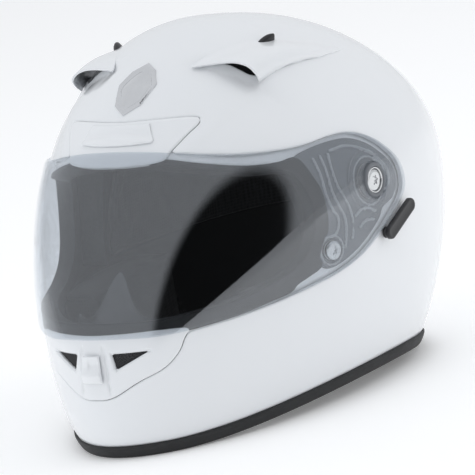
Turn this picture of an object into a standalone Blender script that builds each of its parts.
"""Full-face motorcycle helmet: shell, swing-up visor, sliding vents, impact liner, pads and chin strap.

Metres throughout. The wearer faces -Y, their left side is +X and up is +Z. The origin lies on the plane
that the base trim rests on, under the middle of the helmet's box.
"""
import math

import bmesh
import bpy
from mathutils import Matrix, Vector

# ---------------------------------------------------------------- driving dimensions
GAP = 0.0003                    # clearance between pieces that touch
MIDDLE_Y = 0.0053               # from the origin, under the middle of the length, to the form's own zero

HEIGHT = 0.262                  # base trim to crown
SECTION_Y = 0.003               # where the front and rear halves of each level section meet
FRONT_POWER, REAR_POWER = 1.90, 2.45    # superellipse powers of the level sections
# level of the widest section, reach there, reach at the rim, power of the dome above it
WIDTH_PROFILE = (0.122, 0.123, 0.094, 2.20)
FRONT_PROFILE = (0.032, 0.181, 0.172, 1.84)
REAR_PROFILE = (0.135, 0.169, 0.117, 1.74)
RIM_ARCH = 0.010                # how far the rim rises at the sides
RIM_FLAT_SINE = 0.42            # the rim stays level where |sin(phi)| is below this

COLUMNS, ROWS = 48, 15          # lattice that every skin piece shares, so their facets stay parallel
SHELL_WALL = 0.0035
RECESS_DEPTH = 0.0046           # recess under the sides of the visor
RECESS_FLOOR = 0.003
RECESS_START_Y, RECESS_FULL_Y = -0.118, -0.084      # the recess fades in between these
SWEEP_DEPTH = 0.0030            # shallow ring that the visor's ears turn in

PIVOT_Y, PIVOT_Z = 0.004, 0.143   # visor axis, along X
EAR_RADIUS = 0.0380
HUB_RADIUS, VISOR_HOLE_RADIUS = 0.0120, 0.0128
VISOR_LIFT, VISOR_WALL = 0.0008, 0.0020

TRIM_HEIGHT, TRIM_FLOOR = 0.0125, 0.0022

LINER_INSET = 0.0097            # outer face of the impact liner below the shell's outer face
HEAD_HALF_WIDTH, HEAD_FRONT, HEAD_REAR, HEAD_TOP = 0.093, 0.094, 0.136, 0.228
CROWN_FOOT_Z = 0.098            # lower edge of the crown liner
PAD_THICKNESS = 0.009

# side-view outlines, as (y, z) points of closed smooth curves; their front ends run past the shell
VISOR_OUTLINE = [
    (-0.215, 0.203), (-0.135, 0.202), (-0.116, 0.196), (-0.100, 0.189), (-0.078, 0.183), (-0.048, 0.1795),
    (-0.022, 0.1800), (-0.003, 0.1775), (0.014, 0.170), (0.028, 0.159), (0.0365, 0.149), (0.0390, 0.139),
    (0.0370, 0.130), (0.030, 0.1235), (0.018, 0.117), (-0.004, 0.106), (-0.020, 0.099), (-0.040, 0.0935),
    (-0.064, 0.090), (-0.098, 0.086), (-0.130, 0.083), (-0.157, 0.081), (-0.175, 0.083), (-0.215, 0.085)]
PORT_OUTLINE = [
    (-0.215, 0.200), (-0.135, 0.199), (-0.118, 0.194), (-0.102, 0.185), (-0.081, 0.1775), (-0.062, 0.173),
    (-0.052, 0.164), (-0.048, 0.147), (-0.049, 0.130), (-0.054, 0.115), (-0.066, 0.102), (-0.085, 0.095),
    (-0.110, 0.090), (-0.135, 0.088), (-0.157, 0.087), (-0.175, 0.089), (-0.215, 0.090)]
PLATE_OUTLINE = [
    (-0.0565, 0.1715), (-0.044, 0.1735), (-0.024, 0.1750), (-0.006, 0.1735), (0.011, 0.166), (0.024, 0.156),
    (0.0325, 0.147), (0.0340, 0.139), (0.0315, 0.1315), (0.016, 0.122), (-0.006, 0.1115), (-0.022, 0.1045),
    (-0.040, 0.0990), (-0.0545, 0.0980), (-0.0515, 0.109), (-0.0450, 0.124), (-0.0430, 0.146),
    (-0.0470, 0.161)]
FACE_OUTLINE = [
    (-0.215, 0.212), (-0.130, 0.210), (-0.098, 0.197), (-0.062, 0.188), (-0.043, 0.172), (-0.036, 0.150),
    (-0.036, 0.120), (-0.038, 0.080), (-0.040, 0.040), (-0.100, 0.020), (-0.215, 0.020)]
LEVER_ENDS = ((0.034, 0.1175), (0.007, 0.1055))
LEVER_RADIUS, LEVER_FOOT_RADIUS = 0.0056, 0.0040
LEVER_BASE, LEVER_TOP = 0.0034, 0.0072          # height over the shell

# front-view outlines, as (x, z) points; closed smooth curves
CHIN_COVER_HALF = [(0.0, 0.079), (0.020, 0.079), (0.042, 0.0790), (0.058, 0.077), (0.054, 0.068),
                   (0.046, 0.0595), (0.031, 0.053), (0.016, 0.0455), (0.0, 0.0425)]
CHIN_INTAKE = [(0.0145, 0.0725), (0.0385, 0.0725), (0.0170, 0.0630)]
CHIN_SLIDER = [(-0.0075, 0.055), (0.0075, 0.055), (0.0065, 0.072), (-0.0065, 0.072)]
BROW_COVER_HALF = [(0.0, 0.2130), (0.028, 0.2130), (0.051, 0.2112), (0.0545, 0.2075), (0.047, 0.2005),
                   (0.042, 0.1970), (0.021, 0.1990), (0.0, 0.2000)]
BROW_SLIDER = [(-0.029, 0.2020), (0.029, 0.2020), (0.023, 0.2100), (-0.023, 0.2100)]
BADGE_OUTLINE = [(-0.012, 0.2215), (0.0, 0.2170), (0.012, 0.2215), (0.0165, 0.2330), (0.0, 0.2450),
                 (-0.0165, 0.2330)]

# top vents: (x, y, half width, height over the shell) down the left one, mouth to tail
TOP_VENT_RUN = [(0.0570, -0.0450, 0.0210, 0.0075), (0.0620, -0.0300, 0.0195, 0.0085),
                (0.0700, -0.0050, 0.0150, 0.0065), (0.0770, 0.0200, 0.0100, 0.0040),
                (0.0815, 0.0450, 0.0040, 0.0018)]
COWL_WALL = 0.0014
PLATE_SCREW = (-0.044, 0.107)    # (y, z) of the side plate's lower screw

MODEL = bpy.data.collections.new("motorcycle_helmet")
CUTTERS = bpy.data.collections.new("cutters")


# ---------------------------------------------------------------- the helmet's form
def reach_at(z, profile, inset, top):
    """Reach of the form at height z: a dome above the widest level, tucked in below it."""
    level, widest, rim, power = profile
    if z < level:
        return widest - inset - (widest - rim) * ((level - z) / level) ** 2
    t = min((z - level) / (top - level), 1.0)
    return (widest - inset) * (1.0 - t ** power) ** (1.0 / power)


def form_point(phi, z, inset=0.0):
    """Point at height z on the form shrunk by inset; phi is 0 at the front and pi/2 at the left ear."""
    sine, cosine = math.sin(phi), math.cos(phi)
    top = HEIGHT - inset
    if cosine >= 0.0:
        reach, power = reach_at(z, FRONT_PROFILE, inset, top), FRONT_POWER
    else:
        reach, power = reach_at(z, REAR_PROFILE, inset, top), REAR_POWER
    x = reach_at(z, WIDTH_PROFILE, inset, top) * math.copysign(abs(sine) ** (2.0 / power), sine)
    y = SECTION_Y - reach * math.copysign(abs(cosine) ** (2.0 / power), cosine)
    return Vector((x, y, z))


def form_value(x, y, z):
    """Negative inside the form and positive outside it."""
    z = min(z, HEIGHT - 1e-5)
    front = y <= SECTION_Y
    reach = reach_at(z, FRONT_PROFILE if front else REAR_PROFILE, 0.0, HEIGHT)
    power = FRONT_POWER if front else REAR_POWER
    half_width = reach_at(z, WIDTH_PROFILE, 0.0, HEIGHT)
    return (abs(x) / half_width) ** power + (abs(y - SECTION_Y) / reach) ** power - 1.0


def form_normal(p):
    step = 2e-6
    slopes = []
    for axis in range(3):
        shift = Vector((0.0, 0.0, 0.0))
        shift[axis] = step
        slopes.append(form_value(*(p + shift)) - form_value(*(p - shift)))
    return Vector(slopes).normalized()


def rim_z(phi):
    rise = max(0.0, math.sin(phi) ** 2 - RIM_FLAT_SINE ** 2) / (1.0 - RIM_FLAT_SINE ** 2)
    return RIM_ARCH * rise ** 1.5


def solve(low, high, value):
    """Bisect value, which is negative at low and positive at high."""
    for _ in range(40):
        middle = 0.5 * (low + high)
        if value(middle) < 0.0:
            low = middle
        else:
            high = middle
    return low


def side_point(y, z, out=0.0):
    p = Vector((solve(0.0, 0.2, lambda x: form_value(x, y, z)), y, z))
    return p + form_normal(p) * out


def front_point(x, z, out=0.0):
    p = Vector((x, -solve(0.0, 0.3, lambda y: form_value(x, -y, z)), z))
    return p + form_normal(p) * out


def top_point(x, y, out=0.0):
    p = Vector((x, y, solve(0.12, HEIGHT, lambda z: form_value(x, y, z))))
    return p + form_normal(p) * out


# ---------------------------------------------------------------- modelling helpers
def material(name, colour, roughness, metallic=0.0, alpha=1.0):
    mat = bpy.data.materials.new(name)
    mat.use_nodes = True
    shader = mat.node_tree.nodes["Principled BSDF"]
    shader.inputs["Base Color"].default_value = (*colour, 1.0)
    shader.inputs["Roughness"].default_value = roughness
    shader.inputs["Metallic"].default_value = metallic
    shader.inputs["Alpha"].default_value = alpha
    return mat


def add_object(name, mesh, mat=None):
    """A new object: a node of the model where it has a material, otherwise a cutter."""
    obj = bpy.data.objects.new(name, mesh)
    if mat is None:
        CUTTERS.objects.link(obj)
        obj.hide_render = True
        obj.display_type = "WIRE"
    else:
        MODEL.objects.link(obj)
        mesh.materials.append(mat)
    return obj


def finish_mesh(name, bm, mat=None, smooth=True):
    bmesh.ops.recalc_face_normals(bm, faces=bm.faces)
    mesh = bpy.data.meshes.new(name)
    bm.to_mesh(mesh)
    bm.free()
    if smooth:
        mesh.shade_smooth()
        mesh.set_sharp_from_angle(angle=math.radians(35))
    return add_object(name, mesh, mat)


def add_grid(bm, rows, wrap):
    """Quads between rows of points, each row running along phi; returns the vertex rows."""
    verts = [[bm.verts.new(p) for p in row] for row in rows]
    for lower, upper in zip(verts, verts[1:]):
        count = len(lower)
        for i in range(count if wrap else count - 1):
            j = (i + 1) % count
            if len(upper) == 1:
                bm.faces.new((lower[i], lower[j], upper[0]))
            else:
                bm.faces.new((lower[i], lower[j], upper[j], upper[i]))
    return verts


def loft_slab(name, outer_rows, inner_rows, mat=None, wrap=False):
    """A closed solid between two grids of points with the same layout."""
    bm = bmesh.new()
    outer = add_grid(bm, outer_rows, wrap)
    inner = add_grid(bm, inner_rows, wrap)
    edges = [(outer[0], inner[0])]
    if len(outer[-1]) > 1:
        edges.append((outer[-1], inner[-1]))
    if not wrap:
        edges.append(([row[0] for row in outer], [row[0] for row in inner]))
        edges.append(([row[-1] for row in outer], [row[-1] for row in inner]))
    for a, b in edges:
        count = len(a)
        for i in range(count if wrap else count - 1):
            j = (i + 1) % count
            bm.faces.new((a[i], a[j], b[j], b[i]))
    return finish_mesh(name, bm, mat)


def loft_ring(name, sections, mat=None, closed=True):
    """A solid swept through closed sections; the ends are capped where the sweep isn't closed."""
    bm = bmesh.new()
    rings = [[bm.verts.new(p) for p in section] for section in sections]
    pairs = list(zip(rings, rings[1:]))
    if closed:
        pairs.append((rings[-1], rings[0]))
    for a, b in pairs:
        count = len(a)
        for i in range(count):
            j = (i + 1) % count
            bm.faces.new((a[i], a[j], b[j], b[i]))
    if not closed:
        bm.faces.new(rings[0])
        bm.faces.new(rings[-1])
    return finish_mesh(name, bm, mat)


def smooth_curve(points, steps=2, closed=True):
    """Catmull-Rom curve through the points, as a list of tuples."""
    count = len(points)
    result = []
    for i in range(count if closed else count - 1):
        if closed:
            a, b, c, d = (points[(i + k) % count] for k in (-1, 0, 1, 2))
        else:
            a, b, c, d = (points[min(max(i + k, 0), count - 1)] for k in (-1, 0, 1, 2))
        for k in range(steps):
            t = k / steps
            result.append(tuple(
                0.5 * (2 * q + (r - p) * t + (2 * p - 5 * q + 4 * r - s) * t * t
                       + (3 * q - p - 3 * r + s) * t ** 3) for p, q, r, s in zip(a, b, c, d)))
    if not closed:
        result.append(tuple(points[-1]))
    return result


def grown(points, distance):
    """The closed outline moved outwards by distance."""
    area = sum(p[0] * q[1] - q[0] * p[1] for p, q in zip(points, points[1:] + points[:1]))
    turn = 1.0 if area > 0.0 else -1.0
    result = []
    for before, p, after in zip(points[-1:] + points[:-1], points, points[1:] + points[:1]):
        along = Vector((after[0] - before[0], after[1] - before[1])).normalized()
        result.append((p[0] + turn * distance * along[1], p[1] - turn * distance * along[0]))
    return result


def mirrored(half):
    """A closed outline from its half at positive x, whose first and last points are on the middle."""
    return half + [(-x, z) for x, z in reversed(half[1:-1])]


def prism(name, points, axis, low, high, mat=None):
    """The closed outline extruded from low to high along X (points are y, z), Y (x, z) or Z (x, y)."""
    curve = bpy.data.curves.new(name + "_outline", "CURVE")
    curve.dimensions = "2D"
    curve.fill_mode = "BOTH"
    curve.extrude = 0.5 * (high - low)
    spline = curve.splines.new("POLY")
    spline.points.add(len(points) - 1)
    for point, (u, v) in zip(spline.points, points):
        point.co = (u, v, 0.0, 1.0)
    spline.use_cyclic_u = True
    source = bpy.data.objects.new(name + "_outline", curve)
    CUTTERS.objects.link(source)
    middle = 0.5 * (low + high)
    frame = {"X": Matrix(((0, 0, 1, middle), (1, 0, 0, 0), (0, 1, 0, 0), (0, 0, 0, 1))),
             "Y": Matrix(((1, 0, 0, 0), (0, 0, -1, middle), (0, 1, 0, 0), (0, 0, 0, 1))),
             "Z": Matrix(((1, 0, 0, 0), (0, 1, 0, 0), (0, 0, 1, middle), (0, 0, 0, 1)))}[axis]
    bpy.context.view_layer.update()
    mesh = bpy.data.meshes.new_from_object(source.evaluated_get(bpy.context.evaluated_depsgraph_get()))
    bpy.data.objects.remove(source)
    bm = bmesh.new()
    bm.from_mesh(mesh)
    bmesh.ops.remove_doubles(bm, verts=bm.verts, dist=1e-6)
    bmesh.ops.transform(bm, matrix=frame, verts=bm.verts)
    bpy.data.meshes.remove(mesh)
    return finish_mesh(name, bm, mat, smooth=False)


def cylinder(name, centre, direction, radius, length, mat=None, sides=24, tip_radius=None):
    """A cylinder or cone centred on a point, with its axis along direction."""
    bm = bmesh.new()
    tip = radius if tip_radius is None else tip_radius
    bmesh.ops.create_cone(bm, cap_ends=True, segments=sides, radius1=radius, radius2=tip, depth=length)
    turn = Vector((0, 0, 1)).rotation_difference(Vector(direction)).to_matrix().to_4x4()
    bmesh.ops.transform(bm, matrix=Matrix.Translation(centre) @ turn, verts=bm.verts)
    return finish_mesh(name, bm, mat)


def boolean(target, tool, operation="DIFFERENCE"):
    step = target.modifiers.new(tool.name, "BOOLEAN")
    step.operation = operation
    step.solver = "EXACT"
    step.object = tool


def solidify(obj, thickness, outward):
    step = obj.modifiers.new("wall", "SOLIDIFY")
    step.thickness = thickness
    step.offset = 1.0 if outward else -1.0


def frozen(obj):
    """Replace an object's mesh by its evaluated mesh, and drop its modifiers."""
    bpy.context.view_layer.update()
    mesh = bpy.data.meshes.new_from_object(obj.evaluated_get(bpy.context.evaluated_depsgraph_get()))
    obj.modifiers.clear()
    obj.data = mesh
    return obj


def mirror_copy(obj, name):
    """The right-hand copy of a left-hand piece."""
    frozen(obj)
    bm = bmesh.new()
    bm.from_mesh(obj.data)
    bmesh.ops.scale(bm, vec=(-1.0, 1.0, 1.0), verts=bm.verts)
    bmesh.ops.reverse_faces(bm, faces=bm.faces)
    mesh = bpy.data.meshes.new(name)
    bm.to_mesh(mesh)
    bm.free()
    copy = add_object(name, mesh, obj.data.materials[0])
    mesh.materials.pop(index=0)
    copy.location = (-obj.location.x, obj.location.y, obj.location.z)
    return copy


# ---------------------------------------------------------------- skins on the shell's lattice
def lattice_point(column, row, out=0.0):
    """Lattice point moved off the form by out, which may be a function of the point on the form."""
    phi = math.tau * column / COLUMNS
    foot = rim_z(phi) + TRIM_FLOOR + GAP
    z = foot + (HEIGHT - foot) * math.sin(0.5 * math.pi * row / ROWS)
    if row == ROWS:
        return Vector((0.0, SECTION_Y, HEIGHT + (out if isinstance(out, float) else 0.0)))
    p = form_point(phi, z)
    return p + form_normal(p) * (out(p) if callable(out) else out)


def skin(name, columns, rows, out, thickness, mat=None, outward=True):
    """A wall that follows the form over a range of lattice columns and rows."""
    wrap = columns[1] - columns[0] >= COLUMNS
    last = columns[1] if wrap else columns[1] + 1
    grid = []
    for row in range(rows[0], rows[1] + 1):
        count = 1 if row == ROWS else last - columns[0]
        grid.append([lattice_point(columns[0] + i, row, out) for i in range(count)])
    bm = bmesh.new()
    add_grid(bm, grid, wrap)
    obj = finish_mesh(name, bm, mat)
    solidify(obj, thickness, outward)
    return obj


def recess_floor(p):
    """Offset of the recess floor: clear of the shell at the front, RECESS_DEPTH in at the sides."""
    t = min(max((p.y - RECESS_START_Y) / (RECESS_FULL_Y - RECESS_START_Y), 0.0), 1.0)
    return 0.0015 - (RECESS_DEPTH + 0.0015) * t * t * (3.0 - 2.0 * t)


FRONT_HALF = (-18, 18)          # lattice columns that reach past the visor's ears
PORT_ROWS = (2, 10)


# ---------------------------------------------------------------- shell
def across(name, outline, mat=None):
    """A side-view outline extruded through the whole helmet."""
    return prism(name, outline, "X", -0.2, 0.2, mat)


def ear_disc(name, radius):
    return cylinder(name, (0.0, PIVOT_Y, PIVOT_Z), (1, 0, 0), radius, 0.4, sides=48)


def make_shell(paint):
    shell = skin("outer_shell", (0, COLUMNS), (0, ROWS), 0.0, SHELL_WALL, paint, outward=False)
    visor_edge = smooth_curve(VISOR_OUTLINE)
    backing_depth = RECESS_DEPTH + RECESS_FLOOR - 0.0015
    sides_only = prism("backing_front", [(-0.3, 0.0), (RECESS_START_Y, 0.0), (RECESS_START_Y, 0.3),
                                         (-0.3, 0.3)], "X", -0.2, 0.2)
    backing = skin("recess_backing", FRONT_HALF, PORT_ROWS, -0.0015, backing_depth, outward=False)
    boolean(backing, across("backing_outline", grown(visor_edge, 0.0045)), "INTERSECT")
    boolean(backing, sides_only)
    ear_backing = skin("ear_backing", FRONT_HALF, PORT_ROWS, -0.0012, backing_depth, outward=False)
    boolean(ear_backing, ear_disc("ear_backing_disc", EAR_RADIUS + 0.0035), "INTERSECT")
    boolean(shell, backing, "UNION")
    boolean(shell, ear_backing, "UNION")

    pocket = skin("recess_pocket", FRONT_HALF, PORT_ROWS, recess_floor, 0.020)
    boolean(pocket, across("pocket_outline", grown(visor_edge, 0.0013)), "INTERSECT")
    sweep = skin("ear_sweep", FRONT_HALF, PORT_ROWS, -SWEEP_DEPTH, 0.020)
    boolean(sweep, ear_disc("ear_sweep_disc", EAR_RADIUS), "INTERSECT")
    boolean(shell, pocket)
    boolean(shell, sweep)
    boolean(shell, across("port_cut", smooth_curve(PORT_OUTLINE)))

    # air holes under the vents, and the exhaust slits at the back
    for side in (-1, 1):
        intake = [(side * x, z) for x, z in CHIN_INTAKE]
        boolean(shell, prism(f"chin_hole_{side}", intake, "Y", -0.2, -0.1))
        boolean(shell, cylinder(f"top_hole_{side}", top_point(side * 0.060, -0.026), (0, 0, 1), 0.005, 0.03))
        boolean(shell, exhaust_slot(f"exhaust_hole_{side}", side, -0.0012, -0.02, 0.02))
    boolean(shell, prism("brow_hole", [(-0.018, 0.2040), (0.018, 0.2040), (0.018, 0.2080), (-0.018, 0.2080)],
                         "Y", -0.12, -0.05))
    return shell


def make_trim(rubber):
    """Rubber channel that the shell's lower edge sits in."""
    section = [(0.0018, 0.0), (0.0019, TRIM_HEIGHT - 0.0015), (0.0012, TRIM_HEIGHT),
               (0.00045, TRIM_HEIGHT), (0.00045, TRIM_FLOOR), (-0.0052, TRIM_FLOOR),
               (-0.0052, 0.009), (-0.0067, 0.009), (-0.0067, 0.0)]
    rings = []
    for column in range(COLUMNS):
        phi = math.tau * column / COLUMNS
        foot = rim_z(phi)
        ring = []
        for out, height in section:
            p = form_point(phi, foot + height)
            flat = form_normal(p)
            flat.z = 0.0
            ring.append(p + flat.normalized() * out)
        rings.append(ring)
    return loft_ring("base_trim", rings, rubber)


def make_gasket(rubber):
    gasket = skin("eye_port_gasket", FRONT_HALF, PORT_ROWS, lambda p: min(recess_floor(p), 0.0) + 0.0003,
                  0.0125, rubber, outward=False)
    edge = smooth_curve(PORT_OUTLINE)
    boolean(gasket, across("gasket_outer", grown(edge, -GAP)), "INTERSECT")
    inner = [(y, z) if y > -0.2 else (y - 0.02, z) for y, z in grown(edge, -0.0050)]
    boolean(gasket, across("gasket_inner", inner))
    return gasket


# ---------------------------------------------------------------- visor and its side mechanism
def make_visor(clear):
    visor = skin("visor", FRONT_HALF, PORT_ROWS, VISOR_LIFT, VISOR_WALL, clear)
    boolean(visor, across("visor_outline", smooth_curve(VISOR_OUTLINE)), "INTERSECT")
    boolean(visor, ear_disc("visor_pivot_hole", VISOR_HOLE_RADIUS))
    frozen(visor)
    centre = Vector((0.0, PIVOT_Y, PIVOT_Z))
    visor.data.transform(Matrix.Translation(-centre))
    visor.location = centre
    return visor


def make_left_mechanism(grey, dark, steel):
    plate = skin("ratchet_plate_left", (6, 18), PORT_ROWS, GAP - RECESS_DEPTH, 0.0010, grey)
    boolean(plate, across("plate_outline", smooth_curve(PLATE_OUTLINE)), "INTERSECT")
    boolean(plate, cylinder("plate_hub_hole", (0.12, PIVOT_Y, PIVOT_Z), (1, 0, 0), HUB_RADIUS + GAP, 0.06,
                            sides=32))
    screw_at = side_point(*PLATE_SCREW)
    out = form_normal(screw_at)
    boolean(plate, cylinder("plate_screw_hole", screw_at, out, 0.0068, 0.03))

    floor = side_point(PIVOT_Y, PIVOT_Z).x - RECESS_DEPTH
    face = side_point(PIVOT_Y, PIVOT_Z).x + VISOR_LIFT + VISOR_WALL
    back = floor + 0.0012
    hub = cylinder("pivot_hub_left", (0.5 * (back + face), PIVOT_Y, PIVOT_Z), (1, 0, 0), HUB_RADIUS,
                   face - back, grey, sides=32)
    boolean(hub, cylinder("hub_recess", (face, PIVOT_Y, PIVOT_Z), (1, 0, 0), 0.0078, 0.0044, sides=32))
    screw = cylinder("pivot_screw_left", (face - 0.0010, PIVOT_Y, PIVOT_Z), (1, 0, 0), 0.0072, 0.0017, steel)
    boolean(screw, prism("pivot_screw_slot", [(PIVOT_Y - 0.005, PIVOT_Z - 0.0008),
                                              (PIVOT_Y + 0.005, PIVOT_Z - 0.0008),
                                              (PIVOT_Y + 0.005, PIVOT_Z + 0.0008),
                                              (PIVOT_Y - 0.005, PIVOT_Z + 0.0008)], "X", face - 0.0009, 0.2))
    plate_screw = cylinder("plate_screw_left", screw_at + out * -0.0026, out, 0.0064, 0.0030, steel)
    boolean(plate_screw, cylinder("plate_screw_socket", screw_at, out, 0.0024, 0.0044, sides=6))

    lever = make_lever("lock_lever_left", dark)
    return [plate, hub, screw, plate_screw, lever]


def make_lever(name, dark):
    """Pill-shaped lever beside the ear of the visor, with its origin on its pivot."""
    (y0, z0), (y1, z1) = LEVER_ENDS
    start = math.atan2(z0 - z1, y0 - y1) - 0.5 * math.pi
    outline = []
    for (y, z), turn in (((y0, z0), start), ((y1, z1), start + math.pi)):
        for k in range(9):
            angle = turn + math.pi * k / 8
            outline.append((y + LEVER_RADIUS * math.cos(angle), z + LEVER_RADIUS * math.sin(angle)))
    base = side_point(0.5 * (y0 + y1), 0.5 * (z0 + z1)).x
    lever = prism(name, outline, "X", base + LEVER_BASE, base + LEVER_TOP, dark)
    foot_length = LEVER_BASE - 0.0008 + 0.001
    boolean(lever, cylinder("lever_foot", (base + 0.0008 + 0.5 * foot_length, y1, z1), (1, 0, 0),
                            LEVER_FOOT_RADIUS, foot_length, sides=20), "UNION")
    frozen(lever)
    lever.data.transform(Matrix.Translation((0.0, -y1, -z1)))
    lever.location = (0.0, y1, z1)
    return lever


# ---------------------------------------------------------------- vents and badge
def surface_cover(name, outline, axis, span, columns, rows, lift, thickness, mat):
    cover = skin(name, columns, rows, lift, thickness, mat)
    boolean(cover, prism(name + "_outline", outline, axis, *span), "INTERSECT")
    return cover


def make_chin_vent(paint, mesh_black):
    cover = surface_cover("chin_vent_cover", smooth_curve(mirrored(CHIN_COVER_HALF)), "Y", (-0.25, -0.1),
                          (-8, 8), (1, 6), 0.0003, 0.0024, paint)
    slider = surface_cover("chin_vent_slider", CHIN_SLIDER, "Y", (-0.25, -0.1), (-3, 3), (1, 6), 0.0033,
                           0.0028, paint)
    nodes = [cover, slider]
    for side, label in ((1, "left"), (-1, "right")):
        hole = [(side * x, z) for x, z in CHIN_INTAKE]
        boolean(cover, prism(f"chin_cover_hole_{label}", hole, "Y", -0.25, -0.1))
        nodes.append(surface_cover(f"chin_vent_mesh_{label}", grown(hole, -GAP), "Y", (-0.25, -0.1),
                                   (-8, 8), (1, 6), -0.0030, 0.0010, mesh_black))
    return nodes


def make_brow_vent(paint):
    cover = surface_cover("brow_vent_cover", smooth_curve(mirrored(BROW_COVER_HALF)), "Y", (-0.15, -0.03),
                          (-10, 10), (7, 12), 0.0003, 0.0010, paint)
    slider = surface_cover("brow_vent_slider", BROW_SLIDER, "Y", (-0.15, -0.03), (-7, 7), (7, 12), 0.0016,
                           0.0010, paint)
    return [cover, slider]


def make_badge(chrome):
    return [surface_cover("front_badge", BADGE_OUTLINE, "Y", (-0.15, -0.02), (-6, 6), (8, 14), 0.0003,
                          0.0016, chrome)]


def cowl_point(along, across_part, lift):
    """Point on the left top vent's cowl; along runs 0 to 1 down its length, across_part from -1 to 1."""
    run = smooth_curve(TOP_VENT_RUN, steps=8, closed=False)
    place = along * (len(run) - 1)
    index = min(int(place), len(run) - 2)
    x, y, half, height = (a + (b - a) * (place - index) for a, b in zip(run[index], run[index + 1]))
    px = x + half * across_part * 0.97
    py = y - half * across_part * 0.24
    crown = (1.0 - across_part ** 2) ** 0.7
    return top_point(px, py, lift + height * crown)


def make_top_vent(paint, black):
    steps_along, steps_across = 9, 8
    outer, inner = [], []
    for i in range(steps_along + 1):
        strip = [-1.0 + 2.0 * j / steps_across for j in range(steps_across + 1)]
        outer.append([cowl_point(i / steps_along, a, COWL_WALL + GAP) for a in strip])
        inner.append([cowl_point(i / steps_along, a * 0.90, GAP) if abs(a) < 0.999 else
                      cowl_point(i / steps_along, a, GAP) for a in strip])
    cowl = loft_slab("top_vent_cowl_left", outer, inner, paint)
    tab_centre = cowl_point(0.30, 0.0, COWL_WALL + 0.0016)
    up = form_normal(top_point(tab_centre.x, tab_centre.y))
    tab = cylinder("top_vent_slider_left", tab_centre + up * 0.0007, up, 0.0058, 0.0022, black, sides=20,
                   tip_radius=0.0045)
    return [cowl, tab]


def exhaust_slot(name, side, grow, low, high, mat=None):
    """A slanted slot low on the back of the shell, cut along the surface's own direction."""
    y, z = 0.118, 0.052
    centre = side_point(y, z)
    centre.x *= side
    normal = form_normal(centre)
    bm = bmesh.new()
    bmesh.ops.create_cube(bm, size=1.0)
    size = Vector((0.034 + 2 * grow, 0.0060 + 2 * grow, high - low))
    bmesh.ops.scale(bm, vec=size, verts=bm.verts)
    bmesh.ops.translate(bm, vec=(0.0, 0.0, 0.5 * (low + high)), verts=bm.verts)
    level = Vector((-normal.y, normal.x, 0.0)).normalized()
    upward = normal.cross(level)
    slant = math.radians(12.0) * side
    along = level * math.cos(slant) + upward * math.sin(slant)
    frame = Matrix((along, normal.cross(along), normal)).transposed().to_4x4()
    bmesh.ops.transform(bm, matrix=Matrix.Translation(centre) @ frame, verts=bm.verts)
    return finish_mesh(name, bm, mat, smooth=False)


# ---------------------------------------------------------------- inside
def head_point(phi, t, inset):
    """Point on the cavity of the liner shrunk by inset; t is 0 at its foot and 1 at its crown."""
    angle = 0.5 * math.pi * t
    top = HEAD_TOP - inset
    spread = math.cos(angle) ** 0.85 if t < 1.0 else 0.0
    sine, cosine = math.sin(phi), math.cos(phi)
    front = HEAD_FRONT if cosine >= 0.0 else HEAD_REAR
    x = (HEAD_HALF_WIDTH - inset) * spread * math.copysign(abs(sine) ** 0.92, sine)
    y = SECTION_Y - (front - inset) * spread * math.copysign(abs(cosine) ** 0.92, cosine)
    return Vector((x, y, CROWN_FOOT_Z + (top - CROWN_FOOT_Z) * math.sin(angle)))


def dome_rows(point, columns, rows):
    grid = []
    for row in range(rows + 1):
        t = row / rows
        count = columns if row < rows else 1
        grid.append([point(math.tau * i / columns, t) for i in range(count)])
    return grid


def liner_outer(phi, t):
    z = CROWN_FOOT_Z + (HEIGHT - LINER_INSET - CROWN_FOOT_Z) * math.sin(0.5 * math.pi * t)
    return form_point(phi, z, LINER_INSET) if t < 1.0 else Vector((0.0, SECTION_Y, HEIGHT - LINER_INSET))


def make_liners(foam):
    crown = loft_slab("crown_liner", dome_rows(liner_outer, 32, 8),
                      dome_rows(lambda phi, t: head_point(phi, t, 0.0), 32, 8), foam, wrap=True)
    boolean(crown, across("liner_face_cut", smooth_curve(FACE_OUTLINE)))
    angles = [math.radians(-41 + 82 * i / 12) for i in range(13)]
    levels = [0.020, 0.035, 0.050, 0.063, 0.076]
    chin = loft_slab("chin_liner", [[form_point(a, z, 0.0062) for a in angles] for z in levels],
                     [[form_point(a, z, 0.024) for a in angles] for z in levels], foam)
    return [crown, chin]


def make_crown_pad(fabric):
    pad = loft_slab("crown_pad", dome_rows(lambda phi, t: head_point(phi, t, 0.0006), 32, 8),
                    dome_rows(lambda phi, t: head_point(phi, t, PAD_THICKNESS), 32, 8), fabric, wrap=True)
    boolean(pad, across("pad_face_cut", grown(smooth_curve(FACE_OUTLINE), 0.004)))
    return pad


def make_cheek_pad(fabric):
    """Left cheek pad: flat against the shell side, hollowed for the cheek on the inner one."""
    levels = [0.020 + 0.072 * i / 5 for i in range(6)]
    stations = [-0.092 + 0.116 * i / 7 for i in range(8)]
    outer, inner = [], []
    for z in levels:
        outer_row, inner_row = [], []
        for y in stations:
            edge = max(abs(2 * (z - 0.056) / 0.072), abs(2 * (y + 0.034) / 0.116))
            outer_row.append(Vector((side_point(y, z).x - 0.0095, y, z)))
            hollow = 0.004 * (1.0 - edge ** 2) - 0.006 * edge ** 4
            inner_row.append(Vector((0.060 + 0.010 * (y + 0.034) / 0.058 + hollow * -1.0, y, z)))
        outer.append(outer_row)
        inner.append(inner_row)
    return loft_slab("cheek_pad_left", outer, inner, fabric)


def make_neck_roll(fabric):
    rings = []
    for i in range(25):
        phi = math.radians(111.0 + 138.0 * i / 24)
        foot = rim_z(phi)
        rings.append([form_point(phi, foot + 0.0210 + 0.0125 * math.sin(math.tau * k / 8),
                                 0.0225 + 0.0100 * math.cos(math.tau * k / 8)) for k in range(8)])
    return loft_ring("neck_roll", rings, fabric, closed=False)


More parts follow.
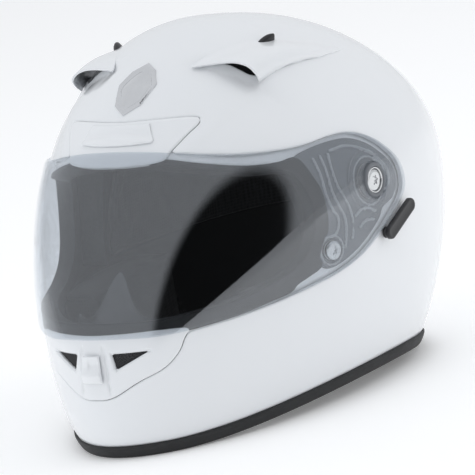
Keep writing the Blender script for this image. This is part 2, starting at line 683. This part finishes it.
def make_chin_parts(fabric, grey):
    angles = [math.radians(-38 + 76 * i / 12) for i in range(13)]
    curtain = loft_slab("chin_curtain", [[form_point(a, 0.0130, d) for a in angles] for d in (0.009, 0.036)],
                        [[form_point(a, 0.0112, d) for a in angles] for d in (0.009, 0.036)], fabric)
    nose = [math.radians(-30 + 60 * i / 10) for i in range(11)]
    heights = [0.0808 + 0.026 * i / 4 for i in range(5)]
    deflector = loft_slab("breath_deflector",
                          [[form_point(a, z, 0.0240 + 0.25 * (z - 0.081)) for a in nose] for z in heights],
                          [[form_point(a, z, 0.0262 + 0.25 * (z - 0.081)) for a in nose] for z in heights],
                          grey)
    return [curtain, deflector]


def make_strap(name, route, webbing, width=0.022, thickness=0.0020):
    """Flat webbing swept along a route of (x, y, z, twist in degrees)."""
    path = smooth_curve(route, steps=4, closed=False)
    rings = []
    for i, (x, y, z, twist) in enumerate(path):
        before, after = path[max(i - 1, 0)], path[min(i + 1, len(path) - 1)]
        along = (Vector(after[:3]) - Vector(before[:3])).normalized()
        side = along.cross(Vector((0.0, 0.0, 1.0))).normalized()
        turn = Matrix.Rotation(math.radians(twist), 3, along)
        wide = turn @ side * (0.5 * width)
        thick = along.cross(wide).normalized() * (0.5 * thickness)
        centre = Vector((x, y, z))
        rings.append([centre + wide + thick, centre - wide + thick, centre - wide - thick,
                      centre + wide - thick])
    return loft_ring(name, rings, webbing, closed=False)


def d_ring(name, centre, steel):
    """A D-shaped wire ring lying level, its bow towards the front and its bar through centre."""
    radius, wire = 0.0135, 0.0017
    path = [Vector((radius * math.sin(a), -0.0045 - radius * math.cos(a), 0.0))
            for a in (math.radians(-90 + 180 * k / 10) for k in range(11))]
    path.append(Vector((radius * 0.85, 0.0, 0.0)))
    path.append(Vector((-radius * 0.85, 0.0, 0.0)))
    rings = []
    for i, p in enumerate(path):
        along = (path[(i + 1) % len(path)] - path[i - 1]).normalized()
        out = along.cross(Vector((0.0, 0.0, 1.0)))
        rings.append([Vector(centre) + p + (out * math.cos(a) + Vector((0, 0, 1)) * math.sin(a)) * wire
                      for a in (math.tau * k / 6 for k in range(6))])
    return loft_ring(name, rings, steel)


def make_chin_strap(webbing, steel, dark):
    left_route = [(0.1020, 0.0385, 0.0660, 0.0), (0.0960, 0.0385, 0.0440, 0.0), (0.0800, 0.0380, 0.0200, 0.0),
                  (0.0600, 0.0330, 0.0085, 0.0), (0.0440, 0.0150, 0.0082, 0.0), (0.0410, -0.0050, 0.0082, 0.0)]
    right_route = [(-x, y, z, twist) for x, y, z, twist in left_route[:5]]
    right_route += [(-0.0410, -0.0200, 0.0082, 0.0), (-0.0400, -0.0640, 0.0082, 0.0)]
    nodes = [make_strap("chin_strap_left", left_route, webbing),
             make_strap("chin_strap_right", right_route, webbing)]
    nodes.append(d_ring("d_ring_outer", (0.0410, -0.0085, 0.0062), steel))
    nodes.append(d_ring("d_ring_inner", (0.0410, -0.0085, 0.0102), steel))
    snap = cylinder("strap_snap", (-0.0420, -0.0560, 0.0106), (0, 0, 1), 0.0055, 0.0024, dark, sides=20)
    nodes.append(snap)
    for side, label in ((1, "left"), (-1, "right")):
        nodes.append(cylinder(f"strap_rivet_{label}", (side * 0.1062, 0.0385, 0.0590), (side, 0, -0.27), 0.0065,
                              0.0020, steel, sides=20))
    return nodes


# ---------------------------------------------------------------- assembly
def build():
    for obj in list(bpy.data.objects):
        bpy.data.objects.remove(obj)
    for collection in (MODEL, CUTTERS):
        bpy.context.scene.collection.children.link(collection)

    paint = material("white_gloss_paint", (0.86, 0.87, 0.89), 0.12)
    clear = material("visor_polycarbonate", (0.30, 0.33, 0.36), 0.05, alpha=0.45)
    rubber = material("black_rubber", (0.045, 0.047, 0.050), 0.65)
    grey = material("grey_plastic", (0.30, 0.32, 0.34), 0.40)
    dark = material("black_plastic", (0.020, 0.020, 0.022), 0.35)
    steel = material("bright_steel", (0.70, 0.71, 0.72), 0.25, metallic=1.0)
    chrome = material("chrome", (0.75, 0.76, 0.78), 0.10, metallic=1.0)
    foam = material("black_foam", (0.05, 0.05, 0.05), 0.90)
    fabric = material("charcoal_fabric", (0.07, 0.07, 0.075), 0.95)
    webbing = material("black_webbing", (0.03, 0.03, 0.03), 0.85)

    middle = bpy.data.objects.new("helmet_frame", None)
    MODEL.objects.link(middle)
    middle.location.y = MIDDLE_Y

    make_shell(paint)
    make_trim(rubber)
    make_gasket(rubber)
    make_visor(clear)
    for node in make_left_mechanism(grey, dark, steel):
        mirror_copy(node, node.name.replace("left", "right"))
    make_chin_vent(paint, dark)
    make_brow_vent(paint)
    make_badge(chrome)
    for node in make_top_vent(paint, dark):
        mirror_copy(node, node.name.replace("left", "right"))
    for side, label in ((1, "left"), (-1, "right")):
        exhaust_slot(f"exhaust_grille_{label}", side, -0.0012 - GAP, -0.0030, -0.0012, dark)
    make_liners(foam)
    make_crown_pad(fabric)
    mirror_copy(make_cheek_pad(fabric), "cheek_pad_right")
    make_neck_roll(fabric)
    make_chin_parts(fabric, grey)
    make_chin_strap(webbing, steel, dark)
    for obj in MODEL.objects:
        if obj is not middle:
            obj.parent = middle
    for obj in CUTTERS.objects:
        obj.parent = middle


build()
